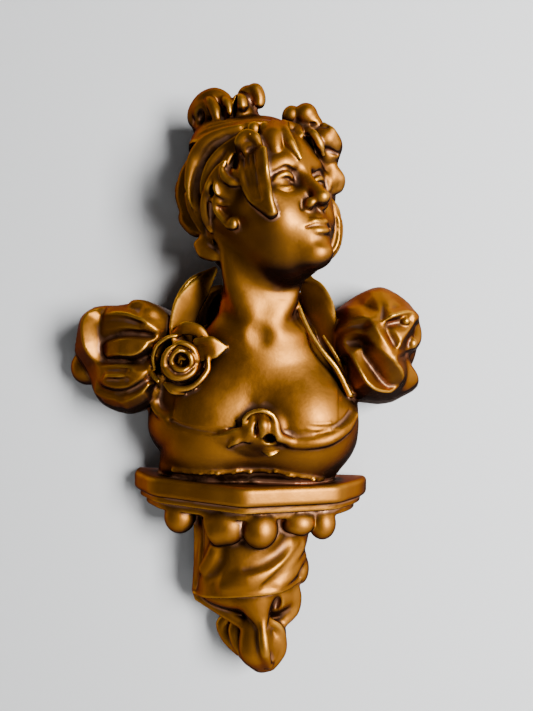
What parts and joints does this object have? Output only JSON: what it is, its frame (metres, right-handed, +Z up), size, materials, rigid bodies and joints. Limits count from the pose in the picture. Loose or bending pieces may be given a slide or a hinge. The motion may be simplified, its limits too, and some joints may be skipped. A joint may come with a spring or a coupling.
{
  "type": "bust wall plaque",
  "caption": "One-piece cast wall plaque: a classical female bust with puffed sleeves, a collar and a rose, on a small moulded shelf carried by a draped scroll bracket.",
  "frame": {"origin": "on the flat back, on the shelf's centre line, level with the shelf's top", "axes": "+Z up, +Y into the wall, so the front faces -Y"},
  "size_m": [0.2289, 0.0914, 0.3743],
  "materials": {
    "gold_bronze_paint": "satin"
  },
  "bodies": {
    "root": {"bust_plaque": "gold_bronze_paint"}
  },
  "joints": []
}
